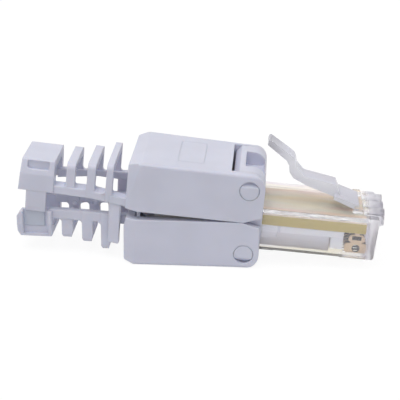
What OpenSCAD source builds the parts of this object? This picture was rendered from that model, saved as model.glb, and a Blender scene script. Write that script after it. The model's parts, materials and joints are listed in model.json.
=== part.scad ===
// Tool-less field termination plug: a clear eight-position nose on a hinged two-part housing.
// Construction frame: +X runs along the nose, Z = 0 is the parting plane between the covers,
// X = 0 is the front of the centre frame. The last transform stands the part on its lower cover.

/* [Nose] */
// Width of the clear nose
nose_w = 11.68; // [11.2:0.02:12.2]
// Height of the clear nose
nose_h = 6.6; // [6.4:0.1:7.2]
// Length of the clear nose ahead of the frame
nose_l = 17.25; // [17:0.1:19]
// Height of the nose floor below the parting plane
nose_drop = 4.5; // [4.3:0.1:4.7]
// Side wall of the nose
nose_wall = 0.75; // [0.6:0.05:0.8]
// Front wall of the nose
nose_front = 1.3; // [1:0.1:1.4]
// Distance that the ribbed lip stands out in front
lip_out = 0.8; // [0.6:0.1:1.2]
// Width of one rounded bar of the lip
lip_bar = 2.6; // [2.2:0.1:2.8]
// Spacing of the lip bars
lip_pitch = 2.93; // [2.9:0.01:3]

/* [Latch tab] */
// Width of the finger end of the tab
tab_w = 3.25; // [2.8:0.05:3.6]
// Width of the root of the tab
tab_root_w = 6; // [5.4:0.1:6.4]
// Distance from the nose front back to the root
tab_root_back = 3.35; // [3.2:0.05:3.6]
// Height of the finger end over the nose top
tab_rise = 9.4; // [9:0.1:9.8]

/* [Board and contacts] */
// Thickness of the board
board_t = 1.6; // [1.4:0.1:1.6]
// Spacing of the plug contacts
contact_pitch = 1.02; // [0.98:0.01:1.04]
// Thickness of a plug contact
contact_t = 0.35; // [0.3:0.05:0.4]
// Length of a plug contact
contact_l = 3.45; // [3.2:0.05:3.5]
// Diameter of the hole in a contact
contact_hole = 1.15; // [0.8:0.05:1.2]
// Spacing of the wire channels
wire_pitch = 2.5; // [2.4:0.05:2.6]
// Width of a wire channel
wire_gap = 1; // [0.9:0.05:1.2]
// Length of the wire blocks
block_l = 10.9; // [10:0.1:11]
// Thickness of a wire fork
fork_t = 0.4; // [0.3:0.05:0.5]

/* [Centre frame] */
// Length of the centre frame
frame_l = 4.85; // [4.8:0.05:4.9]
// Width of the centre frame
frame_w = 11.8; // [11.7:0.05:11.9]
// Distance of a pivot pin from the parting plane
pin_z = 5.1; // [5.1:0.05:5.2]
// Diameter of the pivot pins
pin_d = 2.84; // [2.6:0.02:3]
// Slope of the snap-on ramp on a pin end
ramp_angle = 46; // [30:1:50]
// Width of the finger pocket
pocket_w = 6.5; // [6.3:0.1:7]
// Length of the finger pocket
pocket_l = 2.9; // [2.6:0.1:3]
// Depth of the finger pocket
pocket_depth = 3.1; // [2.4:0.1:3.4]
// Wall in front of the finger pocket
pocket_rim = 0.32; // [0.3:0.02:0.4]

/* [Covers] */
// Length of the covers
cover_l = 20.5; // [20.3:0.1:21]
// Width of the covers at the hinge
cover_w_front = 14.2; // [14:0.1:14.6]
// Width of the covers at the rear
cover_w_rear = 15.1; // [14.8:0.1:15.6]
// Height of the upper cover over the parting plane
upper_h = 7.65; // [7.6:0.05:7.8]
// Height of the lower cover under the parting plane
lower_h = 7.4; // [7.3:0.05:7.5]
// Thickness of the cover plates
plate_t = 1.3; // [1.1:0.1:1.4]
// Radius of the long outer edges
edge_r = 0.6; // [0.3:0.1:0.8]
// Diameter of the cord opening in the rear walls
cord_d = 6.8; // [6:0.1:7]

/* [Strain relief arms] */
// Length of the arms behind the covers, with their end blocks
arm_l = 16.6; // [16.3:0.1:18]
// Length of the end blocks
end_l = 5.35; // [4.9:0.05:5.4]
// Width of the end blocks
end_w = 9; // [8.8:0.1:9.4]
// Height of the side rails
rail_h = 1.35; // [1.1:0.05:1.5]
// Width of the upper side rails
rail_w = 1.7; // [1.1:0.1:1.8]
// Thickness of the arches
arch_t = 1.1; // [0.9:0.05:1.3]
// Fillet where an arch meets its rails
foot_r = 0.6; // [0.4:0.05:0.8]
// Extra length of the lower legs along the arm
leg_extra = 0.4; // [0:0.05:0.5]
// Height of the lower side rails
lower_rail_h = 1.45; // [1:0.05:1.6]
// Length of the guide strap
strap_h = 6.3; // [5.8:0.1:6.6]
// Width of the locking tongue
tongue_w = 3.05; // [2.8:0.05:3.2]

/* [Fits and rest position] */
// Gap round a pivot pin
pin_gap = 0.05; // [0.03:0.01:0.06]
// Side gap between moving walls
side_gap = 0.1; // [0.08:0.01:0.15]
// Angle that the upper cover stands open at rest
upper_open = 1.2; // [0:0.1:3]
// Angle that the lower cover stands open at rest
lower_open = 3.6; // [0:0.1:5]

/* [Hidden] */
$fn = 48;
e = 0.02; // overlap for cuts
pin_x = -0.1 - frame_l / 2 + 0.125;
cheek_in = frame_w / 2 + side_gap;
rear_x = -cover_l;
lower_rear_x = rear_x + 0.05;
plate_x = pin_x - 2.95;
nose_top = nose_h - nose_drop;
board_z = 0.1 - board_t / 2;
root_x = nose_l - tab_root_back;
root_r = 0.42;
root_z = nose_top + root_r + 0.1;
contact_x = root_x + 0.55;
block_x = plate_x - 0.05;
block_rear = block_x - block_l;
upper_block_h = upper_h - plate_t - board_z - board_t - 0.45;
lower_block_h = lower_h - plate_t + board_z - 0.45;
arm_rear = rear_x - arm_l;
end_x = arm_rear + end_l;
// slope of the cover sides, seen from above
side_run = 14.5;
side_slope = (cover_w_rear - cover_w_front) / 2 / side_run;
side_x = -4;
// strain relief arches: distance behind the cover, then height, then half width
arches = [[2.75, 6.07, 5.6, 1.0], [5.6, 5.48, 4.8, 1.25], [8.75, 5.04, 4.4, 1.3]];

// ---- helpers ----

function unit(v) = v / norm(v);

// arc points that round the corner b of the path a, b, c
function corner(a, b, c, r, n) =
    r <= 0 ? [b] :
    let (u = unit(a - b), v = unit(c - b),
         k = acos(max(-1, min(1, u * v))) / 2,
         o = b + unit(u + v) * r / sin(k),
         s = b + u * r / tan(k) - o,
         f = b + v * r / tan(k) - o,
         a0 = atan2(s.y, s.x),
         d = (atan2(f.y, f.x) - a0 + 540) % 360 - 180)
    [for (i = [0:n]) o + r * [cos(a0 + d * i / n), sin(a0 + d * i / n)]];

// closed outline from corners [x, y, radius]
function rounded(p, n = 6) =
    [for (i = [0:len(p) - 1])
        let (a = p[(i + len(p) - 1) % len(p)], b = p[i], c = p[(i + 1) % len(p)])
        each corner([a.x, a.y], [b.x, b.y], [c.x, c.y], b[2], n)];

// side profile [x, z] made w wide, centred on y
module side(w, y = 0) {
    translate([0, y, 0]) rotate([90, 0, 0]) linear_extrude(w, center = true) children();
}

// cross profile [y, z] run from x0 to x1
module across(x0, x1) {
    translate([x0, 0, 0]) rotate([90, 0, 90]) linear_extrude(x1 - x0) children();
}

module box(x0, x1, y0, y1, z0, z1) {
    translate([x0, y0, z0]) cube([x1 - x0, y1 - y0, z1 - z0]);
}

module bar_y(x, z, r, w) {
    translate([x, 0, z]) rotate([90, 0, 0]) cylinder(r = r, h = w, center = true);
}

module both_sides() {
    children();
    mirror([0, 1, 0]) children();
}

// places the part: nose down by lower_open, then the lower cover on the floor
module stand() {
    floor_z = pin_z * cos(lower_open) + pin_x * sin(lower_open) + lower_h - pin_z;
    lip_x = (nose_l + lip_out) * cos(lower_open) + (nose_top - 0.8 + lip_bar / 2 + 0.15) * sin(lower_open);
    tail_x = pin_x * cos(lower_open) - pin_z * sin(lower_open) + arm_rear - pin_x;
    centre_x = (lip_x + tail_x) / 2;
    translate([-centre_x, 0, floor_z]) rotate([0, lower_open, 0]) children();
}

module swing(z, angle) {
    translate([pin_x, 0, z]) rotate([0, angle, 0]) translate([-pin_x, 0, -z]) children();
}

// ---- clear nose ----

module lip_bars() {
    for (k = [-1:1]) translate([root_x + 1.1, k * lip_pitch, nose_top - 0.8])
        rotate([0, 90, 0]) cylinder(d = lip_bar + 0.3, h = nose_l + lip_out - root_x - 1.1);
}

module plug_shell() color([0.85, 0.87, 0.92, 0.5]) stand() difference() {
    union() {
        side(nose_w) polygon(rounded([[-0.1, -nose_drop, 0], [nose_l - 0.2, -nose_drop, 0.4],
            [nose_l, 0.6, 0], [nose_l, nose_top, 0.3], [-0.1, nose_top, 0]]));
        // ribbed lip at the top of the front
        intersection() {
            union() {
                side(9.1) polygon(rounded([[nose_l - 0.6, 0.6, 0], [nose_l + 0.5, 0.6, 0.2],
                    [nose_l + 0.5, nose_top + 0.2, 0.4], [nose_l - 2, nose_top + 0.2, 0.15],
                    [nose_l - 2, nose_top - 0.2, 0], [nose_l - 0.6, nose_top - 0.2, 0]]));
                lip_bars();
            }
            box(root_x, nose_l + lip_out, -4.55, 4.55, 0.6, nose_top + 1);
        }
        // ears beside the tab root
        both_sides() side(1.1, -tab_root_w / 2 - 0.05 - 0.55)
            polygon(rounded([[root_x - 0.6, nose_top - 0.2, 0], [root_x + 0.9, nose_top - 0.2, 0],
                [root_x + 0.9, nose_top + 0.8, 0.15], [root_x - 0.4, nose_top + 0.8, 0.3]]));
    }
    // cavity for the board and the insert, open to the frame
    box(-1, nose_l - nose_front, -nose_w / 2 + nose_wall, nose_w / 2 - nose_wall,
        board_z - 3.2, board_z + board_t + 0.3);
    // contact slots in the floor
    for (k = [0:7]) box(contact_x - contact_l / 2 - 0.15, contact_x + contact_l / 2 + 0.15,
        (k - 3.5) * contact_pitch - contact_t / 2 - 0.1, (k - 3.5) * contact_pitch + contact_t / 2 + 0.1,
        -nose_drop - 1, 0);
    // side marks of the standard nose: a shallow step along the lower edge
    both_sides() box(2, root_x - 2, -nose_w / 2 - 1, -nose_w / 2 + 0.15, -nose_drop - 1, -nose_drop + 0.5);
}

// ---- latch tab ----

// side outline of the tab: root, neck with its locking step, double bend and finger end
module tab_profile() {
    tip_z = nose_top + tab_rise;
    polygon(rounded([
        [root_x, root_z + root_r, 0], [11.35, root_z + 1.25, 0.4], [10.5, root_z + 2.4, 0.2],
        [5.5, root_z + 3.7, 0.9], [4.3, tip_z - 3.9, 1.2], [4.1, tip_z - 2.7, 1.4],
        [3.1, tip_z - 2, 1.0], [-0.1, tip_z, 0.25],
        [-0.4, tip_z - 0.8, 0.25], [2.7, tip_z - 3, 0.8], [3.25, tip_z - 3.9, 0.7],
        [3.25, tip_z - 4.7, 0.9], [4, root_z + 3.2, 0.9], [5.9, root_z + 2.3, 0.8],
        [10.2, root_z + 0.95, 0.1], [root_x, root_z - root_r + 0.1, 0]]));
}

module latch_tab() color([0.85, 0.87, 0.92, 0.5]) stand() {
    side(tab_w) tab_profile();
    side(tab_root_w) polygon(rounded([[root_x, root_z + root_r, 0], [10.35, root_z + 1.5, 0.2],
        [10.3, root_z + 0.9, 0.1], [root_x - 0.2, root_z - root_r + 0.04, 0]]));
    bar_y(root_x, root_z, root_r, tab_root_w);
}

// ---- board, insert and plug contacts ----

module circuit_board() color([0.72, 0.66, 0.42]) stand() translate([0, 0, board_z])
    linear_extrude(board_t) difference() {
        front = nose_l - nose_front - 0.4;
        half = nose_w / 2 - nose_wall - 0.08;
        step = frame_front + 0.03;
        polygon([[block_rear, -4.5], [step, -4.5], [step, -half], [front, -half],
            [front, half], [step, half], [step, 4.5], [block_rear, 4.5]]);
    }

module contact_insert() color([0.92, 0.93, 0.95]) stand() {
    half = nose_w / 2 - nose_wall - 0.12;
    top = board_z - 0.02;
    base = board_z - 3.18;
    front = contact_x - contact_l / 2 - 0.4;
    // top flange
    box(-0.1, front, -half, half, top - 1.05, top);
    // set back body
    box(-0.1, front - 2, -half + 0.7, half - 0.7, base, top - 1);
    box(front - 1.9, front, -half + 0.25, half - 0.25, base + 0.25, top - 1);
    // rear pads
    both_sides() box(-0.1, 2.35, -half, -half + 1.2, top - 2, top - 1);
    // feet between the body and the front block
    box(front - 2.1, front - 1.8, -half + 1, half - 1, base + 0.5, top - 1);
}

module contact(k) color([0.8, 0.66, 0.42]) stand()
    side(contact_t, (k - 3.5) * contact_pitch) difference() {
        h = contact_l / 2;
        z0 = -nose_drop + 0.05;
        dome_top = board_z - 0.8;
        waist = z0 + 1.7;
        translate([contact_x, 0]) polygon(rounded([
            [-h, z0, 0.45], [h, z0, 0.6], [h, waist - 0.2, 0.35], [0.85, waist - 0.1, 0.1],
            [0.85, waist + 0.1, 0.1], [1.25, waist + 0.25, 0.15], [1.25, dome_top, 0.7],
            [0.35, dome_top, 0.1], [0.35, board_z - 0.02, 0.1], [-0.35, board_z - 0.02, 0.1],
            [-0.35, dome_top, 0.1], [-1.25, dome_top, 0.7], [-1.25, waist + 0.25, 0.15],
            [-0.85, waist + 0.1, 0.1], [-0.85, waist - 0.1, 0.1], [-h, waist - 0.2, 0.35]]));
        translate([contact_x, z0 + 0.8]) circle(d = contact_hole);
        // oval eye under the dome
        translate([contact_x, dome_top - 0.5]) polygon(rounded([[-0.68, -0.3, 0.29],
            [0.68, -0.3, 0.29], [0.68, 0.3, 0.29], [-0.68, 0.3, 0.29]]));
    }

module contact_1() contact(0);
module contact_2() contact(1);
module contact_3() contact(2);
module contact_4() contact(3);
module contact_5() contact(4);
module contact_6() contact(5);
module contact_7() contact(6);
module contact_8() contact(7);

// ---- centre frame ----

frame_front = -0.1;
frame_back = frame_front - frame_l;
frame_top = upper_h;
frame_low = lower_h - 0.45;

module pivot_pin(z, up) {
    side_y = cover_w_front / 2;
    difference() {
        bar_y(pin_x, z, pin_d / 2, 2 * side_y);
        // ramp that lets the cheek snap on
        both_sides() translate([0, -side_y, z + up * pin_d * 0.2])
            rotate([-up * ramp_angle, 0, 0]) translate([pin_x - 3, -2, up > 0 ? 0 : -3]) cube([6, 2, 3]);
    }
}

module centre_frame() color([0.9, 0.91, 0.94]) stand() {
    difference() {
        union() {
            pivot_pin(pin_z, 1);
            side(frame_w) polygon(rounded([
            [frame_front, -frame_low, 1.6], [frame_front, frame_top, 2.2],
            [pin_x - 1.72, frame_top, 0.1], [frame_back, frame_top - 1.0, 0.1],
            [frame_back, -frame_low + 0.35, 0.1], [frame_back + 0.35, -frame_low, 0.1]]));
        }
        // pocket for the finger end of the tab
        side(pocket_w) polygon(rounded([[frame_front - pocket_rim - pocket_l, frame_top + 1, 0],
            [frame_front - pocket_rim - pocket_l, frame_top - pocket_depth, 0.5],
            [frame_front - pocket_rim, frame_top - pocket_depth, 0.5], [frame_front - pocket_rim, frame_top + 1, 0]]));
        // board slot
        box(frame_back - 1, 1, -4.55, 4.55, board_z - 0.03, board_z + board_t + 0.03);
    }
    pivot_pin(-pin_z, -1);
}

// ---- wire blocks ----

// x of a wire fork: the outer two stand further back
function fork_x(k) = block_x - block_l * ((k == 0 || k == 3) ? 0.62 : 0.34);

module wire_block(h) difference() {
    across(block_rear, block_x) polygon(rounded([[-5.2, 0, 0], [5.2, 0, 0],
        [5.2, h, 0.6], [-5.2, h, 0.6]]));
    for (k = [0:3]) {
        y = (k - 1.5) * wire_pitch;
        // wire channel, open to the back and to the cover
        box(block_rear - 1, block_x - 1.2, y - wire_gap / 2, y + wire_gap / 2, h - 3.3, h + 1);
        // seat of the fork
        box(fork_x(k) - fork_t / 2 - 0.03, fork_x(k) + fork_t / 2 + 0.03, y - 1, y + 1, -1, fork_h(h) + 0.05);
        // lead-in
        translate([block_rear, y, h - 1.5]) rotate([0, 0, 45]) cube([1, 1, 8], center = true);
    }
}

module idc_block_upper() color([0.86, 0.87, 0.9]) stand()
    translate([0, 0, board_z + board_t]) wire_block(upper_block_h);

module idc_block_lower() color([0.86, 0.87, 0.9]) stand()
    translate([0, 0, board_z]) mirror([0, 0, 1]) wire_block(lower_block_h);

// height of a fork in a block of height h
function fork_h(h) = h - 1.35;

module wire_fork(k, h) {
    top = fork_h(h);
    translate([fork_x(k), (k - 1.5) * wire_pitch, 0]) rotate([0, 90, 0])
        linear_extrude(fork_t, center = true) rotate(90) difference() {
            polygon(rounded([[-0.95, 0, 0], [0.95, 0, 0], [0.95, top, 0.3], [-0.95, top, 0.3]]));
            translate([-0.15, top / 3]) square([0.3, top]);
            polygon([[-0.5, top + 0.1], [0, top - 0.9], [0.5, top + 0.1]]);
        }
}

module fork_up(k) color([0.8, 0.66, 0.42]) stand()
    translate([0, 0, board_z + board_t]) wire_fork(k, upper_block_h);

module fork_down(k) color([0.8, 0.66, 0.42]) stand()
    translate([0, 0, board_z]) mirror([0, 0, 1]) wire_fork(k, lower_block_h);

module idc_contact_1() fork_up(0);
module idc_contact_2() fork_up(1);
module idc_contact_3() fork_up(2);
module idc_contact_4() fork_up(3);
module idc_contact_5() fork_down(0);
module idc_contact_6() fork_down(1);
module idc_contact_7() fork_down(2);
module idc_contact_8() fork_down(3);

// cross that keeps the four pairs apart behind the blocks
module wire_organizer() color([0.86, 0.87, 0.9]) stand() {
    back = block_rear - 2.3;
    translate([0, 0, board_z + 0.3]) linear_extrude(board_t - 0.6)
        polygon(rounded([[block_rear, -4.4, 0], [block_rear, 4.4, 0], [back, 3, 0.6], [back, -3, 0.6]]));
    side(1) polygon(rounded([[block_rear, -4.6, 0], [block_rear, 4.6, 0],
        [back, 2.6, 0.6], [back, -2.6, 0.6]]));
}

// ---- covers ----

// half width of a cover at a point along it
function half_w(x) = cover_w_front / 2 + max(0, side_x - x) * side_slope;

// plan outline of a cover, sides flared towards the back, rear corners cut
module cover_plan(back) {
    cut = 1.8;
    polygon([[0, -half_w(side_x)], [0, half_w(side_x)], [side_x, half_w(side_x)],
        [back + cut, half_w(back + cut)], [back, half_w(back + cut) - 0.8],
        [back, -half_w(back + cut) + 0.8], [back + cut, -half_w(back + cut)],
        [side_x, -half_w(side_x)]]);
}

// side outline of a cover of height h above the parting plane
module cover_side(h, back, front_z, relief) {
    polygon(rounded([[back, relief * 4, 0], [back + relief, 0, 0], [pin_x - 0.35, 0, 0], [frame_front, front_z, 0.2],
        [frame_front, h, 2.25], [back + 1.9, h, 0.3], [back, h - 0.65, 0.3]]));
}

// cutters that round the long top edges of a cover, following its flared sides
module edge_cut(h, back) {
    flare = atan(side_slope);
    both_sides() for (run = [[back - 1, side_x, flare], [side_x, 1, 0]])
        translate([side_x, -half_w(side_x), h]) rotate([0, 0, run[2]])
            across(run[0] - side_x, run[1] - side_x + 0.05) difference() {
                translate([-1, -edge_r]) square([1 + edge_r, 1 + edge_r]);
                translate([edge_r, -edge_r]) circle(r = edge_r);
            }
}

// hollow half housing with its cheeks and pin holes, drawn upward
module cover_half(h, back, front_z, relief) difference() {
    intersection() {
        side(cover_w_rear + 4) cover_side(h, back, front_z, relief);
        translate([0, 0, -1]) linear_extrude(h + 2) cover_plan(back);
    }
    edge_cut(h, back);
    // room for the wire block
    box(rear_x + 1.65, plate_x + e, -cheek_in, cheek_in, -1, h - plate_t);
    // open front between the cheeks
    box(plate_x, 1, -cheek_in, cheek_in, -1, h + 1);
    // pin holes
    bar_y(pin_x, pin_z, pin_d / 2 + pin_gap, cover_w_rear + 4);
    // cord opening
    across(back - 1, back + 3) circle(d = cord_d);
}

// ribs under the plate that push the wires down
module wire_ribs(h) for (k = [0:3])
    side(wire_gap - 0.35, (k - 1.5) * wire_pitch) polygon(rounded([
        [block_rear + 1, h - plate_t + 0.1, 0], [block_rear + 1, h - plate_t - 1.2, 0.3],
        [block_x - 1.9, h - plate_t - 1.2, 0.3], [block_x - 1.9, h - plate_t + 0.1, 0]]));

// ---- strain relief arms ----

// one arch, standing on its rails; inset narrows it
module arch(a, inset, extra) {
    x = rear_x - a[0];
    w = a[2] - inset;
    h = a[1] + extra;
    across(x - a[3] / 2, x + a[3] / 2) difference() {
        polygon(rounded([[-w, 0, 0], [w, 0, 0], [w, h, 0.9], [-w, h, 0.9]]));
        polygon(rounded([[-w + arch_t, -1, 0], [w - arch_t, -1, 0],
            [w - arch_t, h - arch_t, 0.6], [-w + arch_t, h - arch_t, 0.6]]));
    }
}

// fillets at the foot of an arch, in the corners it makes with its rails
module feet(a, inset, top) {
    x = rear_x - a[0];
    for (s = [-1, 1]) translate([x + s * (a[3] / 2 - 0.05), 0, top - 0.05]) mirror([s < 0 ? 1 : 0, 0, 0])
        both_sides() translate([0, -a[2] + inset + 0.06, 0])
            rotate([90, 0, 0]) mirror([0, 0, 1]) linear_extrude(arch_t - 0.12) difference() {
                square(foot_r + 0.05);
                translate([foot_r + 0.05, foot_r + 0.05]) circle(r = foot_r);
            }
}

// plan of the side rails, from the cover to the end block
module rails(start, back, w0, inset, wide) {
    wm = arches[1][2] - inset;
    xm = rear_x - arches[1][0];
    w1 = arches[2][2] - inset - 0.15;
    polygon([[start, w0], [xm, wm], [back, w1], [back, w1 - wide], [xm, wm - wide],
        [start, w0 - wide]]);
}

// ring section of an end block, open at the parting plane
module end_ring(h, low) difference() {
    across(arm_rear, end_x) polygon(rounded([[-end_w / 2, low, 0], [end_w / 2, low, 0],
        [end_w / 2, h * 0.55, 0.2], [end_w / 2 - 0.6, h, 0.3],
        [-end_w / 2 + 0.6, h, 0.3], [-end_w / 2, h * 0.55, 0.2]]));
    across(arm_rear - 1, end_x + 1) polygon(rounded([[-2.95, -2, 0], [2.95, -2, 0],
        [2.95, h - 1.3, 1], [-2.95, h - 1.3, 1]]));
}

// side outline that bevels the ends of the lower end block
module end_outline(h, low, cut) side(end_w + 1) polygon(rounded([[arm_rear + cut, low - e, 0],
    [end_x, low - e, 0], [end_x, h - cut * 0.6, 0.2], [end_x - cut * 0.4, h + e, 0.2],
    [arm_rear + cut * 0.8, h + e, 0.2], [arm_rear, h - cut * 1.6, 0.4],
    [arm_rear, low + cut * 1.2, 0.3]]));

module upper_cover() color([0.9, 0.91, 0.94]) stand() swing(pin_z, upper_open) {
    cover_half(upper_h, rear_x, 1.05, 0.02);
    wire_ribs(upper_h);
    // rails and arches
    both_sides() linear_extrude(rail_h) rails(rear_x + 1, end_x - 0.5, 6.55, 0, rail_w);
    for (a = arches) {
        arch(a, 0, 0);
        feet(a, 0, rail_h);
    }
    difference() {
        intersection() {
            end_ring(5, 0.12);
            side(end_w + 1) polygon([[arm_rear, 0], [end_x + 0.01, 0], [end_x + 0.01, 5.1],
                [arm_rear + 0.38, 5.1]]);
        }
        // slots in the upper corners of the end block
        both_sides() side(end_w / 2, -end_w * 0.6) polygon(rounded([[arm_rear + 1.25, 3.5, 0.45],
            [end_x - 0.8, 3.5, 0.45], [end_x - 0.8, 4.75, 0.15], [arm_rear + 1.25, 4.75, 0.15]]));
    }
    // guide strap outside the lower arm
    both_sides() side(0.75, -5.2 - 0.375 - 0.15) polygon(rounded([
        [rear_x - 2.6, rail_h, 0], [rear_x - 2.6, -strap_h, 0.35],
        [rear_x - 0.85, -strap_h, 0.35], [rear_x - 0.85, rail_h, 0]]));
    // locking tongue
    both_sides() translate([end_x - 1.05 - tongue_w, 0, 0]) across(0, tongue_w) polygon([
        [-end_w / 2 + 0.05, 1], [-end_w / 2 + 0.05, -2.3], [-end_w / 2 + 0.45, -3.3],
        [-end_w / 2 + 0.8, -3.3], [-end_w / 2 + 0.8, 1]]);
}

module lower_cover() color([0.9, 0.91, 0.94]) stand() swing(-pin_z, -lower_open) mirror([0, 0, 1]) {
    // the relief lets its top corner swing past the guide strap
    cover_half(lower_h, lower_rear_x, 0.8, 0.34);
    wire_ribs(lower_h);
    both_sides() translate([0, 0, 0.35]) linear_extrude(lower_rail_h)
        rails(lower_rear_x + 1, end_x - 0.5, 5.1, 0.45, arch_t);
    for (a = arches) {
        leg = [a[0] + leg_extra / 2, a[1], a[2], a[3] + leg_extra];
        inset = a == arches[0] ? 0.75 : 0.45;
        difference() {
            intersection() {
                arch(leg, inset, a == arches[0] ? 0.25 : 0);
                // round toe of the leg
                side(20) let (x = rear_x - leg[0], t = leg[3] / 2, h = leg[1] + (a == arches[0] ? 0.25 : 0))
                    polygon(rounded([[x - t - e, -1, 0], [x + t + e, -1, 0], [x + t + e, h - 1.2, 0.2],
                        [x + t - 0.3, h, 0.35], [x - t + 0.25, h, 0.3], [x - t - e, h - 0.8, 0.2]]));
            }
            box(-50, 0, -8, 8, -1, 0.35);
        }
        feet(leg, inset, 0.35 + lower_rail_h);
    }
    difference() {
        intersection() {
            end_ring(4.9, 0.6);
            end_outline(4.9, 0.6, 0.6);
        }
        // seats for the tongues
        both_sides() box(end_x - 1.05 - tongue_w - 0.35, end_x - 0.6, -end_w,
            -end_w / 2 + 0.95, -1, 4.4);
    }
    // grip pips on the arches
    for (a = [arches[1], arches[2]]) both_sides()
        translate([rear_x - a[0], -a[2] + 0.45 + arch_t - 0.1, 1.9]) rotate([-90, 0, 0])
            cylinder(r = 0.4, h = 0.35);
}

plug_shell();
latch_tab();
circuit_board();
contact_insert();
contact_1();
contact_2();
contact_3();
contact_4();
contact_5();
contact_6();
contact_7();
contact_8();
centre_frame();
idc_block_upper();
idc_block_lower();
idc_contact_1();
idc_contact_2();
idc_contact_3();
idc_contact_4();
idc_contact_5();
idc_contact_6();
idc_contact_7();
idc_contact_8();
wire_organizer();
upper_cover();
lower_cover();
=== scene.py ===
import json
import math

import bmesh
import bpy
from mathutils import Matrix, Vector
from mathutils.bvhtree import BVHTree


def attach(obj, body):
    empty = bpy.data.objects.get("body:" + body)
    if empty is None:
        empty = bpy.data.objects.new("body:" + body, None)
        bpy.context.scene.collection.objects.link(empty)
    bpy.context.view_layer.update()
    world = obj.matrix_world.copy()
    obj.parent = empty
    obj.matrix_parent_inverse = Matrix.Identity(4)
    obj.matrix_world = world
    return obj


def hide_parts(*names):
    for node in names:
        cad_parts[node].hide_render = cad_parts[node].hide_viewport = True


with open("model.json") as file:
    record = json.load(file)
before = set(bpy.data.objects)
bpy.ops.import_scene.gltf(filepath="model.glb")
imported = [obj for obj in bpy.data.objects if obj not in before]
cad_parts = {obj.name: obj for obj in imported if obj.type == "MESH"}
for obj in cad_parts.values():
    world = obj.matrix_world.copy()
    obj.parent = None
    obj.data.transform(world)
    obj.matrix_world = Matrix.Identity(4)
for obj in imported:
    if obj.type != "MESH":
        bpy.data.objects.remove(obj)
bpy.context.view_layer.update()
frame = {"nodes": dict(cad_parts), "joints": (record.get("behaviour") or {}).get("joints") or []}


# ---- Centre frame ----
# The white block that everything hangs on: the board passes through it, the clear nose is
# bonded to its front and both covers turn on the four round pins moulded on its sides.
# It is one nylon moulding with a thumb pocket for the spring tab.
mm = 0.001
upper_pin, lower_pin = (
    Vector(next(j["pos_m"] for j in frame["joints"] if j["name"] == name))
    for name in ("upper_cover_hinge", "lower_cover_hinge")
)
frame_up = (upper_pin - lower_pin).normalized()
frame_along = Vector((frame_up.z, 0, -frame_up.x))
pin_back = 2.4 * mm
frame_origin = (upper_pin + lower_pin) / 2 + frame_along * pin_back


def nose_axes():
    """The matrix from the nose's own millimetres to the model's metres."""
    axes = Matrix((frame_along, Vector((0, 1, 0)), frame_up)).transposed().to_4x4()
    return Matrix.Translation(frame_origin) @ axes @ Matrix.Scale(mm, 4)


class Link:
    """One socket of a node tree. Operators on it add Math nodes, and node() adds any other."""

    def __init__(self, tree, socket=None):
        self.tree, self.socket = tree, socket

    def node(self, kind, settings=None, inputs=None, out=0):
        made = self.tree.nodes.new(kind)
        for name, value in (settings or {}).items():
            if name == "stops":
                ramp = made.color_ramp
                ramp.elements[0].position, ramp.elements[1].position = value[0][0], value[-1][0]
                for at, _ in value[1:-1]:
                    ramp.elements.new(at)
                for element, (_, colour) in zip(ramp.elements, value):
                    element.color = (*colour, 1)
            else:
                setattr(made, name, value)
        for name, value in (inputs or {}).items():
            if isinstance(value, Link):
                self.tree.links.new(value.socket, made.inputs[name])
            else:
                made.inputs[name].default_value = value
        return Link(self.tree, made.outputs[out])

    def maths(self, operation, a, b=0.0):
        return self.node("ShaderNodeMath", {"operation": operation}, {0: a, 1: b})

    def __add__(self, other):
        return self.maths("ADD", self, other)

    def __sub__(self, other):
        return self.maths("SUBTRACT", self, other)

    def __rsub__(self, other):
        return self.maths("SUBTRACT", other, self)

    def __mul__(self, other):
        return self.maths("MULTIPLY", self, other)

    def __lt__(self, other):
        return self.maths("LESS_THAN", self, other)

    def __gt__(self, other):
        return self.maths("GREATER_THAN", self, other)

    __radd__, __rmul__ = __add__, __mul__

    def unsigned(self):
        """This value without its sign."""
        return self.maths("ABSOLUTE", self)

    def either(self, other):
        """The larger of two masks."""
        return self.maths("MAXIMUM", self, other)

    def steps(self, low, high):
        """0 below low, 1 above high and a smooth rise between."""
        return self.node(
            "ShaderNodeMapRange",
            {"interpolation_type": "SMOOTHSTEP"},
            {"Value": self, "From Min": low, "From Max": high},
        )

    def tint(self, a, b):
        """Colour a where this value is 0 and colour b where it is 1."""
        a, b = (c if isinstance(c, Link) else (*c, 1) for c in (a, b))
        return self.node("ShaderNodeMix", {"data_type": "RGBA"}, {0: self, 6: a, 7: b}, out=2)

    def along(self, direction):
        """How far this vector reaches in a direction of unit length."""
        given = {0: self, 1: tuple(direction)}
        return self.node(
            "ShaderNodeVectorMath", {"operation": "DOT_PRODUCT"}, given, out="Value"
        )

    def across(self):
        """This vector's part across the plug."""
        return self.node("ShaderNodeSeparateXYZ", None, {"Vector": self}, out=1)

    def stretched(self, *scale):
        """This vector scaled along each axis."""
        return self.node("ShaderNodeMapping", None, {"Vector": self, "Scale": scale})

    def noise(self, where, scale, detail=3.0):
        return self.node(
            "ShaderNodeTexNoise", None, {"Vector": where, "Scale": scale, "Detail": detail}
        )

    def bump(self, height, distance, strength=1.0, soft_edge=0.0):
        """A normal roughened by height, over edges that look rounded by soft_edge."""
        given = {"Height": height, "Distance": distance, "Strength": strength}
        if soft_edge:
            given["Normal"] = self.node("ShaderNodeBevel", {"samples": 6}, {"Radius": soft_edge})
        return self.node("ShaderNodeBump", None, given)


def new_material(name):
    """A material, a maker of its nodes, its object coordinates and its Principled shader."""
    material = bpy.data.materials.new(name)
    material.use_nodes = True
    tree = material.node_tree
    start = Link(tree)
    where = start.node("ShaderNodeTexCoord", out="Object")
    return material, start, where, tree.nodes["Principled BSDF"]


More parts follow.
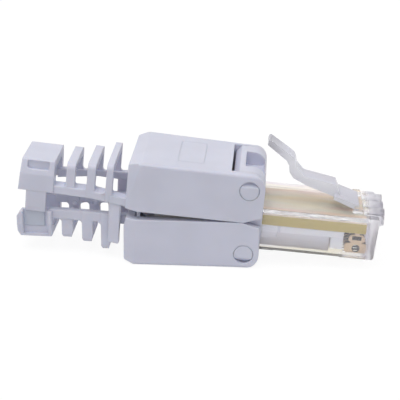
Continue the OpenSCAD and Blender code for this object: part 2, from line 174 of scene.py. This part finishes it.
def feed(start, shader, **values):
    """Sets or links the shader's sockets, named with _ for the spaces."""
    for name, value in values.items():
        socket = shader.inputs[name.replace("_", " ")]
        if isinstance(value, Link):
            start.tree.links.new(value.socket, socket)
        else:
            socket.default_value = (*value, 1) if isinstance(value, tuple) else value


edge_radius = 0.24 * mm
scatter_depth = 0.7 * mm
scatter_colours = (1.0, 0.75, 0.62)
flow_shade = 0.955
flow_scale, spark_scale = 160, 9000
spark_height = 0.004 * mm


def white_nylon(name, colour, rough):
    """Moulded nylon with the fine spark texture of its mould.

    colour is one colour, which then varies faintly with the flow, or a function of the
    node maker and the place.
    """
    material, start, where, shader = new_material(name)
    if callable(colour):
        tone = colour(start, where)
    else:
        shaded = tuple(c * flow_shade for c in colour)
        tone = start.noise(where, flow_scale, 2).steps(0.35, 0.7).tint(shaded, colour)
    spark = start.noise(where, spark_scale, 2)
    feed(
        start,
        shader,
        Base_Color=tone,
        Roughness=rough + (spark - 0.5) * 0.12,
        Normal=start.bump(spark, spark_height, 0.5, edge_radius),
        Specular_IOR_Level=0.45,
        Subsurface_Weight=0.5,
        Subsurface_Scale=scatter_depth,
    )
    shader.inputs["Subsurface Radius"].default_value = scatter_colours
    return material


def add_object(name, mesh, material):
    """An object with this mesh in one material."""
    piece = bpy.data.objects.new(name, mesh)
    bpy.context.scene.collection.objects.link(piece)
    mesh.materials.clear()
    mesh.materials.append(material)
    return piece


def flattened(piece):
    """Turns what the modifiers make into the piece's plain mesh."""
    seen = piece.evaluated_get(bpy.context.evaluated_depsgraph_get())
    mesh = bpy.data.meshes.new_from_object(seen)
    piece.modifiers.clear()
    piece.data = mesh
    return piece


merge_gap = 0.0015
flat_angle = math.radians(0.5)
edge_angle = math.radians(38)
smooth_angle = math.radians(32)


def moulded(name, node, material, edge=0.0, axes=None, shift=None):
    """A copy of a CAD solid with its triangles merged, and its edges rounded by edge.

    shift(x, y, z) gives a vertex its finer place, in millimetres along axes.
    """
    work = bmesh.new()
    work.from_mesh(frame["nodes"][node].data)
    if shift:
        inward = axes.inverted()
        for vertex in work.verts:
            vertex.co = axes @ Vector(shift(*(inward @ vertex.co)))
    bmesh.ops.scale(work, vec=(1 / mm,) * 3, verts=work.verts)
    bmesh.ops.remove_doubles(work, verts=work.verts, dist=merge_gap)
    if edge:
        skin = BVHTree.FromBMesh(work)
        bmesh.ops.dissolve_degenerate(work, dist=edge * 0.4, edges=work.edges)
    bmesh.ops.dissolve_limit(work, angle_limit=flat_angle, verts=work.verts, edges=work.edges)
    work.verts.index_update()
    mesh = bpy.data.meshes.new(name)
    mesh.from_pydata(
        [v.co for v in work.verts], [], [[v.index for v in f.verts] for f in work.faces]
    )
    work.free()
    mesh.shade_smooth()
    piece = add_object(name, mesh, material)
    if edge:
        bevel = piece.modifiers.new("edge", "BEVEL")
        bevel.width, bevel.segments = edge, 2
        bevel.limit_method, bevel.angle_limit = "ANGLE", edge_angle
        bevel.use_clamp_overlap = False
        flattened(piece)
        for vertex in piece.data.vertices:
            near, _, _, gap = skin.find_nearest(vertex.co)
            if gap > edge:
                vertex.co = near
    else:
        mesh.set_sharp_from_angle(angle=smooth_angle)
    normals = piece.modifiers.new("normals", "WEIGHTED_NORMAL")
    normals.keep_sharp = True
    flattened(piece)
    piece.data.transform(Matrix.Scale(mm, 4))
    return piece


def fitted(piece, body, slot, *replaced):
    """Seats a finished piece on its body and hides the CAD nodes it stands for."""
    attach(piece, body)
    if replaced:
        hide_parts(*replaced)


nylon = white_nylon("white_nylon", (0.69, 0.70, 0.815), 0.42)
slack = 0.02
pocket_run = (-3.5, -0.3)
pocket_half = 3.3
pocket_floor = 4.55
pocket_curve = 0.55
pocket_raise = 1.0


def shallow_pocket(x, y, z):
    """Lifts the floor of the thumb pocket to the depth of the real one."""
    inside = pocket_run[0] < x < pocket_run[1] and abs(y) < pocket_half
    on_floor = inside and pocket_floor - slack < z < pocket_floor + pocket_curve
    return x, y, z + pocket_raise if on_floor else z


centre_frame = moulded(
    "frame_block", "centre_frame", nylon, axes=nose_axes(), shift=shallow_pocket
)
fitted(centre_frame, "plug", "white_plastic", "centre_frame")


# ---- Upper cover ----
# The upper half housing with its strain relief arm, moulded in one. It snaps on the upper
# pair of pins and its ribs press the four upper wires into their forks. A low raised outline
# on its roof is left empty.
upper_open = 1.2
cover_rear = -20.5
block_front = -31.75


def turned(pin, degrees):
    """The matrix that opens a cover about its pin."""
    turn = Matrix.Rotation(math.radians(degrees), 4, "Y")
    return Matrix.Translation(pin) @ turn @ Matrix.Translation(-pin)


# Rails: outer face as (x, side), then what the upper moulding's corners move by.
rail_run = ((-19.5, 6.55), (-26.1, 4.8), (-32.25, 4.25))
rail_wide = 1.7
rail_tall = 1.35
rail_zone = (-0.05, 2.05)
rail_middle = 0.3
rail_lift = (0.1, 0.65)
rail_drop = (-0.12, 0.42)
rail_slack = 0.05
wall_clear = 0.3

strap_ends = (-23.12, -21.33)
strap_inner, strap_outer = 5.2, 6.085
strap_under = -0.5
strap_forward = 0.28
strap_behind = (0.1, 0.72)
strap_top = 0.6

slot_floor = (3.1, 3.2)
slot_rise = (3.4, 4.8)
slot_shallow = 3.75


def rail_face(x):
    """Distance of a rail's outer face from the middle of the arm."""
    near, middle, far = rail_run
    a, b = (near, middle) if x > middle[0] else (middle, far)
    return a[1] + (b[1] - a[1]) * (a[0] - x) / (a[0] - b[0])


def slanted_rails(x, y, z):
    """Tilts the rails inwards, sets the strap behind them and makes the block's slots shallow."""
    side = abs(y)
    face = rail_face(x)
    in_strap = strap_ends[0] < x < strap_ends[1] and side > strap_inner
    if in_strap and z < rail_tall + slack:
        if side > strap_outer:
            return x + strap_forward, math.copysign(face - strap_behind[0], y), min(z, strap_top)
        if z < strap_under:
            return x + strap_forward, math.copysign(face - strap_behind[1], y), z
    in_arm = block_front - slack < x < cover_rear - wall_clear
    if in_arm and rail_zone[0] < z < rail_zone[1] and side < face + rail_slack:
        inward = min(1, max(0, (face - side) / rail_wide))
        fixed, slope = rail_lift if z < rail_middle else rail_drop
        return x, y, z + fixed + slope * inward
    on_slot = slot_floor[0] < side < slot_floor[1] and slot_rise[0] < z < slot_rise[1]
    if x < block_front and on_slot:
        return x, math.copysign(slot_shallow, y), z
    return x, y, z


cover_turn = turned(upper_pin, upper_open)
upper_cover = moulded(
    "cover_upper", "upper_cover", nylon, axes=cover_turn @ nose_axes(), shift=slanted_rails
)
fitted(upper_cover, "upper_half", "white_plastic", "upper_cover")

slab_faces = (
    (0, 1, 3, 2),
    (4, 6, 7, 5),
    (0, 2, 6, 4),
    (1, 5, 7, 3),
    (0, 4, 5, 1),
    (2, 3, 7, 6),
)


def side_slabs(name, run, sides, rise, thick, turn, edge=0.0):
    """A thin slab on each side: run in x, sides of its outer face at both ends, rise in z."""
    work = bmesh.new()
    for hand in (-1, 1):
        corners = [
            work.verts.new((x, hand * (side - inner), z))
            for inner in (0, thick)
            for x, side in zip(run, sides)
            for z in rise
        ]
        for loop in slab_faces:
            work.faces.new([corners[k] for k in loop])
    bmesh.ops.recalc_face_normals(work, faces=work.faces)
    if edge:
        bmesh.ops.bevel(work, geom=work.edges[:], offset=edge, segments=2, affect="EDGES")
    mesh = bpy.data.meshes.new(name)
    work.to_mesh(mesh)
    work.free()
    mesh.transform(turn @ nose_axes())
    return add_object(name, mesh, nylon)


# Strips that carry each rail's outer face on past the strap.
strip_run = (-23.6, -19.6)
strip_rise = (0.1, 1.24)
strip_proud = 0.012
strip_thick = 0.3
strip_sides = [rail_face(x) + strip_proud for x in strip_run]
strips = side_slabs("rail_strips", strip_run, strip_sides, strip_rise, strip_thick, cover_turn)
fitted(strips, "upper_half", "white_plastic")


def new_tree(name, **kinds):
    """An empty node tree with named inputs, a maker of its nodes and those inputs."""
    tree = bpy.data.node_groups.new(name, "GeometryNodeTree")
    for label, kind in kinds.items():
        tree.interface.new_socket(label, in_out="INPUT", socket_type="NodeSocket" + kind)
    tree.interface.new_socket("Mesh", in_out="OUTPUT", socket_type="NodeSocketGeometry")
    given = tree.nodes.new("NodeGroupInput")
    return tree, Link(tree), {label: Link(tree, given.outputs[label]) for label in kinds}


def close_tree(tree, shape, material):
    """Ends a node tree with real geometry in one material."""
    real = shape.node("GeometryNodeRealizeInstances", None, {"Geometry": shape})
    painted = real.node(
        "GeometryNodeSetMaterial", None, {"Geometry": real, "Material": material}
    )
    end = tree.nodes.new("NodeGroupOutput")
    tree.links.new(painted.socket, end.inputs[0])
    return tree


def outline_tree():
    """A rounded rectangle of fine raised line, from its width, length, corner and thickness."""
    tree, start, given = new_tree(
        "raised_outline",
        Width="Float",
        Length="Float",
        Corner="Float",
        Line="Float",
        Material="Material",
    )
    path = start.node(
        "GeometryNodeCurvePrimitiveQuadrilateral",
        None,
        {"Width": given["Width"], "Height": given["Length"]},
    )
    path = start.node(
        "GeometryNodeFilletCurve",
        {"mode": "POLY"},
        {"Curve": path, "Count": 5, "Radius": given["Corner"]},
    )
    section = start.node(
        "GeometryNodeCurvePrimitiveCircle", None, {"Resolution": 8, "Radius": given["Line"]}
    )
    line = start.node("GeometryNodeCurveToMesh", None, {"Curve": path, "Profile Curve": section})
    line = start.node("GeometryNodeSetShadeSmooth", None, {"Geometry": line})
    return close_tree(tree, line, given["Material"])


def grown(name, mesh, tree, **sizes):
    """A piece that a node tree makes, with the tree's inputs set by their names."""
    piece = bpy.data.objects.new(name, mesh)
    bpy.context.scene.collection.objects.link(piece)
    modifier = piece.modifiers.new("grow", "NODES")
    modifier.node_group = tree
    for item in tree.interface.items_tree:
        if item.in_out == "INPUT" and item.name in sizes:
            modifier[item.identifier] = sizes[item.name]
    return flattened(piece)


outline_centre = (-11.5, 0, 7.65)
outline_sink = -0.063 * mm
outline = grown(
    "roof_outline",
    bpy.data.meshes.new("roof_outline"),
    outline_tree(),
    Width=3.9 * mm,
    Length=9.0 * mm,
    Corner=0.5 * mm,
    Line=0.08 * mm,
    Material=nylon,
)
outline.data.transform(
    cover_turn
    @ nose_axes()
    @ Matrix.Translation(outline_centre)
    @ Matrix.Scale(1 / mm, 4)
    @ Matrix.Translation((0, 0, outline_sink))
)
fitted(outline, "upper_half", "white_plastic")


# ---- Lower cover ----
# The lower half housing and its strain relief arm, one moulding that snaps on the lower
# pins. The upper arm's tongues hook in the slots of its end block when the plug is shut.
lower_open = -3.6
lower_cover = moulded("cover_lower", "lower_cover", nylon)
fitted(lower_cover, "lower_half", "white_plastic", "lower_cover")

# The thin panel on which each tongue lies, in the side recess of the end block.
ledge_run = (-36.375, -32.925)
ledge_side = 3.66
ledge_rise = (-3.2, -0.6)
ledge_thick = 0.11
ledge_edge = 0.035
ledges = side_slabs(
    "seat_ledges",
    ledge_run,
    (ledge_side, ledge_side),
    ledge_rise,
    ledge_thick,
    turned(lower_pin, lower_open),
    ledge_edge,
)
fitted(ledges, "lower_half", "white_plastic")


# ---- Wire blocks, wire forks and wire guide ----
# Inside the covers: two slotted blocks on the board that hold the eight forked wire
# contacts, and the cross that keeps the wire pairs apart. The blocks are natural nylon.
contact_count = 8
block_edge = 0.05
block_nylon = white_nylon("natural_nylon", (0.74, 0.74, 0.76), 0.5)
for block in ("idc_block_upper", "idc_block_lower", "wire_organizer"):
    piece = moulded("wire_" + block.replace("idc_", ""), block, block_nylon, block_edge)
    fitted(piece, "plug", "inner_plastic", block)


def tin_plated(name):
    """Tin plate over bronze: bright and slightly cloudy."""
    material, start, where, shader = new_material(name)
    cloud = start.noise(where, 900, 2)
    feed(
        start,
        shader,
        Base_Color=cloud.tint((0.62, 0.6, 0.56), (0.78, 0.76, 0.72)),
        Metallic=1.0,
        Roughness=0.28 + cloud * 0.15,
    )
    return material


tinned = tin_plated("tin_plate")
for k in range(contact_count):
    fork = frame["nodes"]["idc_contact_%d" % (k + 1)]
    fork.data.materials.clear()
    fork.data.materials.append(tinned)


# ---- Circuit board ----
# A pale glass-epoxy board that runs from the wire blocks to the plug contacts. Its sawn
# edges are golden brown.
board_edge = 0.05


def facing(start):
    """The direction that the surface faces."""
    return start.node("ShaderNodeNewGeometry", out="Normal")


def laminate(name):
    """Glass epoxy: warm and pale on its faces, with golden layers along the cut edges."""
    material, start, where, shader = new_material(name)
    layers = start.noise(where.stretched(120, 120, 9000), 1.0, 3.0)
    edge = layers.tint((0.52, 0.40, 0.075), (0.66, 0.52, 0.13))
    face = start.noise(where, 500, 3).tint((0.74, 0.60, 0.48), (0.83, 0.71, 0.58))
    on_face = facing(start).along(frame_up).unsigned().steps(0.4, 0.7)
    feed(start, shader, Base_Color=on_face.tint(edge, face), Roughness=0.45)
    return material


board = moulded("board", "circuit_board", laminate("board_laminate"), board_edge)
fitted(board, "plug", "board", "circuit_board")


# ---- Contact insert ----
# The white block under the board that holds the eight blades in line.
insert_edge = 0.06
insert_white = (0.96, 0.96, 1.0)
# Painted shade: grey-brown on the set-back body under the flanges, deepest at the bottom, and a
# greyer groove behind the front pad.
insert_painted_shade = (0.48, 0.44, 0.45)
insert_groove_painted_shade = (0.80, 0.81, 0.88)
flange_under = -1.76 * mm
painted_shade_heights = (-4.7 * mm, -0.9 * mm)
body_front = (10.35 * mm, 10.45 * mm)
groove_run = (2.36 * mm, 2.8 * mm)
body_low, body_lowered = -3.8, -4.26


def from_frame(where, direction):
    """Distance from the frame's middle, in metres, along a direction of the nose."""
    return where.along(direction) - frame_origin.dot(direction)


def insert_tint(start, where):
    """White flanges with painted shade in the groove, over a set-back body with painted shade
    that deepens downwards.
    """
    height, ahead = from_frame(where, frame_up), from_frame(where, frame_along)
    under_flange = height < flange_under
    painted_shade_low, set_back = 1 - height.steps(*painted_shade_heights), 1 - ahead.steps(*body_front)
    groove = (ahead > groove_run[0]) * (ahead < groove_run[1]) * (1 - under_flange)
    flange = groove.tint(insert_white, insert_groove_painted_shade)
    # Painted shade on the set-back body, deeper lower down.
    return (painted_shade_low * set_back * under_flange).tint(flange, insert_painted_shade)


def deeper_body(x, y, z):
    """Takes the set-back body down to the thin floor of the nose."""
    return x, y, body_lowered if z < body_low else z


insert_nylon = white_nylon("insert_nylon", insert_tint, 0.45)
insert = moulded(
    "insert", "contact_insert", insert_nylon, insert_edge, nose_axes(), deeper_body
)
fitted(insert, "plug", "inner_plastic", "contact_insert")


# ---- Contact blades ----
# Eight stamped phosphor bronze blades, gold flashed, in a row at the standard spacing.
# Each has a round locating hole, an oval eye and a domed tail under the board.
blade_spacing = 1.02 * mm
blade_edge = 0.04
hole_ahead, hole_below = 14.45 * mm, 3.65 * mm
hole_radius, hole_rim = 0.61 * mm, 0.8 * mm
eye_half = (0.7 * mm, 0.33 * mm)
eye_below = 2.0 * mm
# Painted shade: a dark, dull brown for the faces between blades and the walls of the holes and
# eyes.
between_blades_painted_shade = (0.05, 0.034, 0.03)


def gold_flash(name):
    """Gold flashed bronze: warm and bright outside, with painted shade in the holes and between
    the blades.
    """
    material, start, where, shader = new_material(name)
    grain = start.noise(where.stretched(7000, 900, 900), 1.0, 2)
    bright = grain.tint((0.62, 0.43, 0.25), (0.78, 0.62, 0.44))
    sideways = facing(start).across().unsigned()
    inside_row = where.across().unsigned() < (contact_count - 1) / 2 * blade_spacing
    height = from_frame(where, frame_up)
    from_hole = from_frame(where, frame_along) - hole_ahead
    over_hole = height + hole_below
    reach = from_hole * from_hole + over_hole * over_hole
    on_wall = (reach < hole_rim**2) * (sideways < 0.7)
    in_hole = (reach < hole_radius**2).either(on_wall)
    over_eye = (height + eye_below).unsigned()
    in_eye = (from_hole.unsigned() < eye_half[0]) * (over_eye < eye_half[1])
    # Painted shade on faces that look at a neighbouring blade and in the hole and eye: dark, dull
    # and not metallic there.
    blade_painted_shade = (inside_row * (sideways > 0.5)).either(in_hole.either(in_eye))
    feed(
        start,
        shader,
        Base_Color=blade_painted_shade.tint(bright, between_blades_painted_shade),
        Metallic=1 - blade_painted_shade,
        Roughness=0.24 + grain * 0.2 + blade_painted_shade * 0.55,
        Normal=start.bump(grain, 0.006 * mm, 0.4),
    )
    return material


def row_tree():
    """Copies of the piece's own mesh in a straight row across the nose."""
    tree, start, given = new_tree(
        "blade_row", Blade="Geometry", Count="Int", Spacing="Vector", Material="Material"
    )
    points = start.node(
        "GeometryNodeMeshLine", None, {"Count": given["Count"], "Offset": given["Spacing"]}
    )
    row = start.node(
        "GeometryNodeInstanceOnPoints", None, {"Points": points, "Instance": given["Blade"]}
    )
    return close_tree(tree, row, given["Material"])


gold = gold_flash("gold_flash")
one_blade = moulded("one_blade", "contact_1", gold, blade_edge)
blades = grown(
    "contact_blades",
    one_blade.data,
    row_tree(),
    Count=contact_count,
    Spacing=(0, blade_spacing, 0),
    Material=gold,
)
bpy.data.objects.remove(one_blade)
blade_nodes = ["contact_%d" % (k + 1) for k in range(contact_count)]
fitted(blades, "plug", "contact_metal", *blade_nodes)


# ---- Clear nose ----
# The polycarbonate shell round the board and contacts, with the ribbed lip at the top of
# its front. It is moulded clear, so strain from the mould shows as faint rainbow bands.
nose_edge = 0.08
seen_bending = 1.22
clear_colour = (0.955, 0.955, 0.99)
# Painted shading of the ribbed lip: its sides pale, its top darker and the grooves between its
# bars darkest.
lip_side_painted_light = (0.96, 0.95, 1.0)
lip_top_painted_shade = (0.57, 0.56, 0.62)
lip_groove_painted_shade = (0.40, 0.39, 0.45)
lip_run = (14.6 * mm, 16.4 * mm)
lip_bar_spacing = 2.93 * mm
strain_colours = [
    (0.30, (0.95, 0.94, 0.98)),
    (0.42, (0.99, 0.90, 0.74)),
    (0.48, (0.95, 0.82, 0.86)),
    (0.54, (0.88, 0.96, 0.90)),
    (0.62, (0.99, 0.92, 0.70)),
    (0.74, (0.95, 0.95, 0.99)),
]
floor_inside = (-3.95, -3.85)
floor_lowered = -4.3


def polycarbonate(name, milk, tinted):
    """Clear polycarbonate, part milky. tinted(start, where) gives its colour and roughness."""
    material, start, where, shader = new_material(name)
    tone, rough = tinted(start, where)
    feed(
        start,
        shader,
        Base_Color=tone,
        Roughness=rough,
        IOR=seen_bending,
        Transmission_Weight=1 - milk,
        Specular_IOR_Level=0.5,
    )
    return material


def nose_tint(start, where):
    """Strain colours from the mould on the nose's top, and a lilac, hazier lip with painted
    shading: pale on its sides, darker on top and darkest in the grooves between its bars.
    """
    hue = start.noise(where.stretched(45, 300, 300), 1.0, 1.5)
    strain = start.node("ShaderNodeValToRGB", {"stops": strain_colours}, {"Fac": hue})
    upward = facing(start).along(frame_up)
    plain = upward.steps(0.5, 0.9).tint(clear_colour, strain)
    wave = start.maths("COSINE", where.across() * (2 * math.pi / lip_bar_spacing))
    between_bars = 1 - wave.steps(-1.0, 0.1)
    # Painted shading: lip colour set by which way the surface faces, darker between the bars.
    lip_painted_shading = upward.steps(0.2, 0.8).tint(lip_side_painted_light, between_bars.tint(lip_top_painted_shade, lip_groove_painted_shade))
    lip = from_frame(where, frame_along).steps(*lip_run)
    return lip.tint(plain, lip_painted_shading), 0.07 + lip * 0.25


def thin_floor(x, y, z):
    """Lowers the inside of the nose's floor to the thin wall of the real one."""
    return x, y, floor_lowered if floor_inside[0] < z < floor_inside[1] else z


clear = polycarbonate("clear_polycarbonate", 0.12, nose_tint)
nose = moulded("nose_shell", "plug_shell", clear, nose_edge, nose_axes(), thin_floor)
fitted(nose, "plug", "clear_plastic", "plug_shell")


# ---- Spring tab ----
# The clear tab that locks the plug in its jack. It is folded back over the nose and its
# finger end reaches the pocket in the frame.
# Painted shading of the tab: its sides pale and its top greyer.
tab_side_painted_light = (0.95, 0.95, 1.0)
tab_top_painted_shade = (0.78, 0.78, 0.87)
tab_tip = (0.60, 0.59, 0.64)
tip_run = (-0.4 * mm, 3.4 * mm)
tab_rough = 0.2
step_run = (10.1, 10.9)
step_low = 4.6
step_raise = 0.4


def tab_tint(start, where):
    """Painted shading by which way it faces: paler on its sides and greyer on top. Darkest at the
    thin finger end.
    """
    upward = facing(start).along(frame_up)
    plain = upward.steps(0.2, 0.8).tint(tab_side_painted_light, tab_top_painted_shade)
    tip = 1 - from_frame(where, frame_along).steps(*tip_run)
    return (tip * 0.8).tint(plain, tab_tip), tab_rough


def locking_step(x, y, z):
    """Raises the step that catches in the jack."""
    on_step = step_run[0] < x < step_run[1] and z > step_low
    return x, y, z + step_raise if on_step else z


tab_clear = polycarbonate("tab_polycarbonate", 0.6, tab_tint)
tab = moulded("spring_tab", "latch_tab", tab_clear, axes=nose_axes(), shift=locking_step)
fitted(tab, "tab", "clear_plastic", "latch_tab")


# ---- Studio ----
# A white sweep under even soft light, with the camera where the photograph was taken from.
azimuth, elevation, roll = (math.radians(v) for v in (3.327, 21.742, 1.065))
camera_lens = 109.22
camera_place = (-9.72, 1.106, 186.463)
back = Vector(
    (
        math.sin(azimuth) * math.cos(elevation),
        -math.cos(azimuth) * math.cos(elevation),
        math.sin(elevation),
    )
)
level = Vector((math.cos(azimuth), math.sin(azimuth), 0))
rise = back.cross(level)
right = level * math.cos(roll) + rise * math.sin(roll)
upward = rise * math.cos(roll) - level * math.sin(roll)
aside, above, away = camera_place
eye = frame_origin / mm + right * aside + upward * above + back * away
camera_data = bpy.data.cameras.new("camera")
camera_data.lens, camera_data.sensor_width = camera_lens, 36
camera_data.clip_start, camera_data.clip_end = 0.01, 20
camera = bpy.data.objects.new("camera", camera_data)
camera_turn = Matrix((right, upward, back)).transposed().to_4x4()
camera.matrix_world = Matrix.Translation(eye * mm) @ camera_turn
bpy.context.scene.collection.objects.link(camera)
bpy.context.scene.camera = camera


def sees_white(start):
    """1 for rays from the camera, and for those that gloss and clear plastic send on."""
    camera_ray, gloss_ray, clear_ray = (
        start.node("ShaderNodeLightPath", out="Is %s Ray" % kind)
        for kind in ("Camera", "Glossy", "Transmission")
    )
    return camera_ray.either(gloss_ray).either(clear_ray), clear_ray


def emptied(tree):
    """A maker of nodes for a tree that starts with none."""
    tree.nodes.clear()
    return Link(tree)


white = (1, 1, 1, 1)
floor_half = 3.0
floor_glow, floor_extra = 0.85, 0.06
floor_colour = (0.8, 0.8, 0.8, 1)

sweep = bpy.data.materials.new("white_sweep")
sweep.use_nodes = True
start = emptied(sweep.node_tree)
shown, seen_through = sees_white(start)
matt = start.node("ShaderNodeBsdfDiffuse", None, {"Color": floor_colour})
glow = start.node("ShaderNodeEmission", None, {"Color": white, "Strength": 1.0})
share = (shown * floor_glow).either(seen_through)
mixed = start.node("ShaderNodeMixShader", None, {0: share, 1: matt, 2: glow})
extra = start.node("ShaderNodeEmission", None, {"Strength": shown * floor_extra})
surface = start.node("ShaderNodeAddShader", None, {0: mixed, 1: extra})
output = sweep.node_tree.nodes.new("ShaderNodeOutputMaterial")
sweep.node_tree.links.new(surface.socket, output.inputs["Surface"])

floor_mesh = bpy.data.meshes.new("floor")
floor_corners = [
    (floor_half * a, floor_half * b, 0) for a, b in ((-1, -1), (1, -1), (1, 1), (-1, 1))
]
floor_mesh.from_pydata(floor_corners, [], [(0, 1, 2, 3)])
add_object("floor", floor_mesh, sweep)

sky_light = 0.46
world = bpy.data.worlds.new("studio")
bpy.context.scene.world = world
world.use_nodes = True
start = emptied(world.node_tree)
shown, _ = sees_white(start)
strength = shown * (1 - sky_light) + sky_light
sky = start.node("ShaderNodeBackground", None, {"Color": white, "Strength": strength})
output = world.node_tree.nodes.new("ShaderNodeOutputWorld")
world.node_tree.links.new(sky.socket, output.inputs["Surface"])

sun_data = bpy.data.lights.new("overhead", "SUN")
sun_data.energy, sun_data.angle = 1.5, math.radians(50)
sun = bpy.data.objects.new("overhead", sun_data)
sun.rotation_mode = "QUATERNION"
sun.rotation_quaternion = Vector((0.12, 0.25, -1)).to_track_quat("-Z", "Y")
bpy.context.scene.collection.objects.link(sun)

bpy.context.scene.view_settings.view_transform = "Standard"
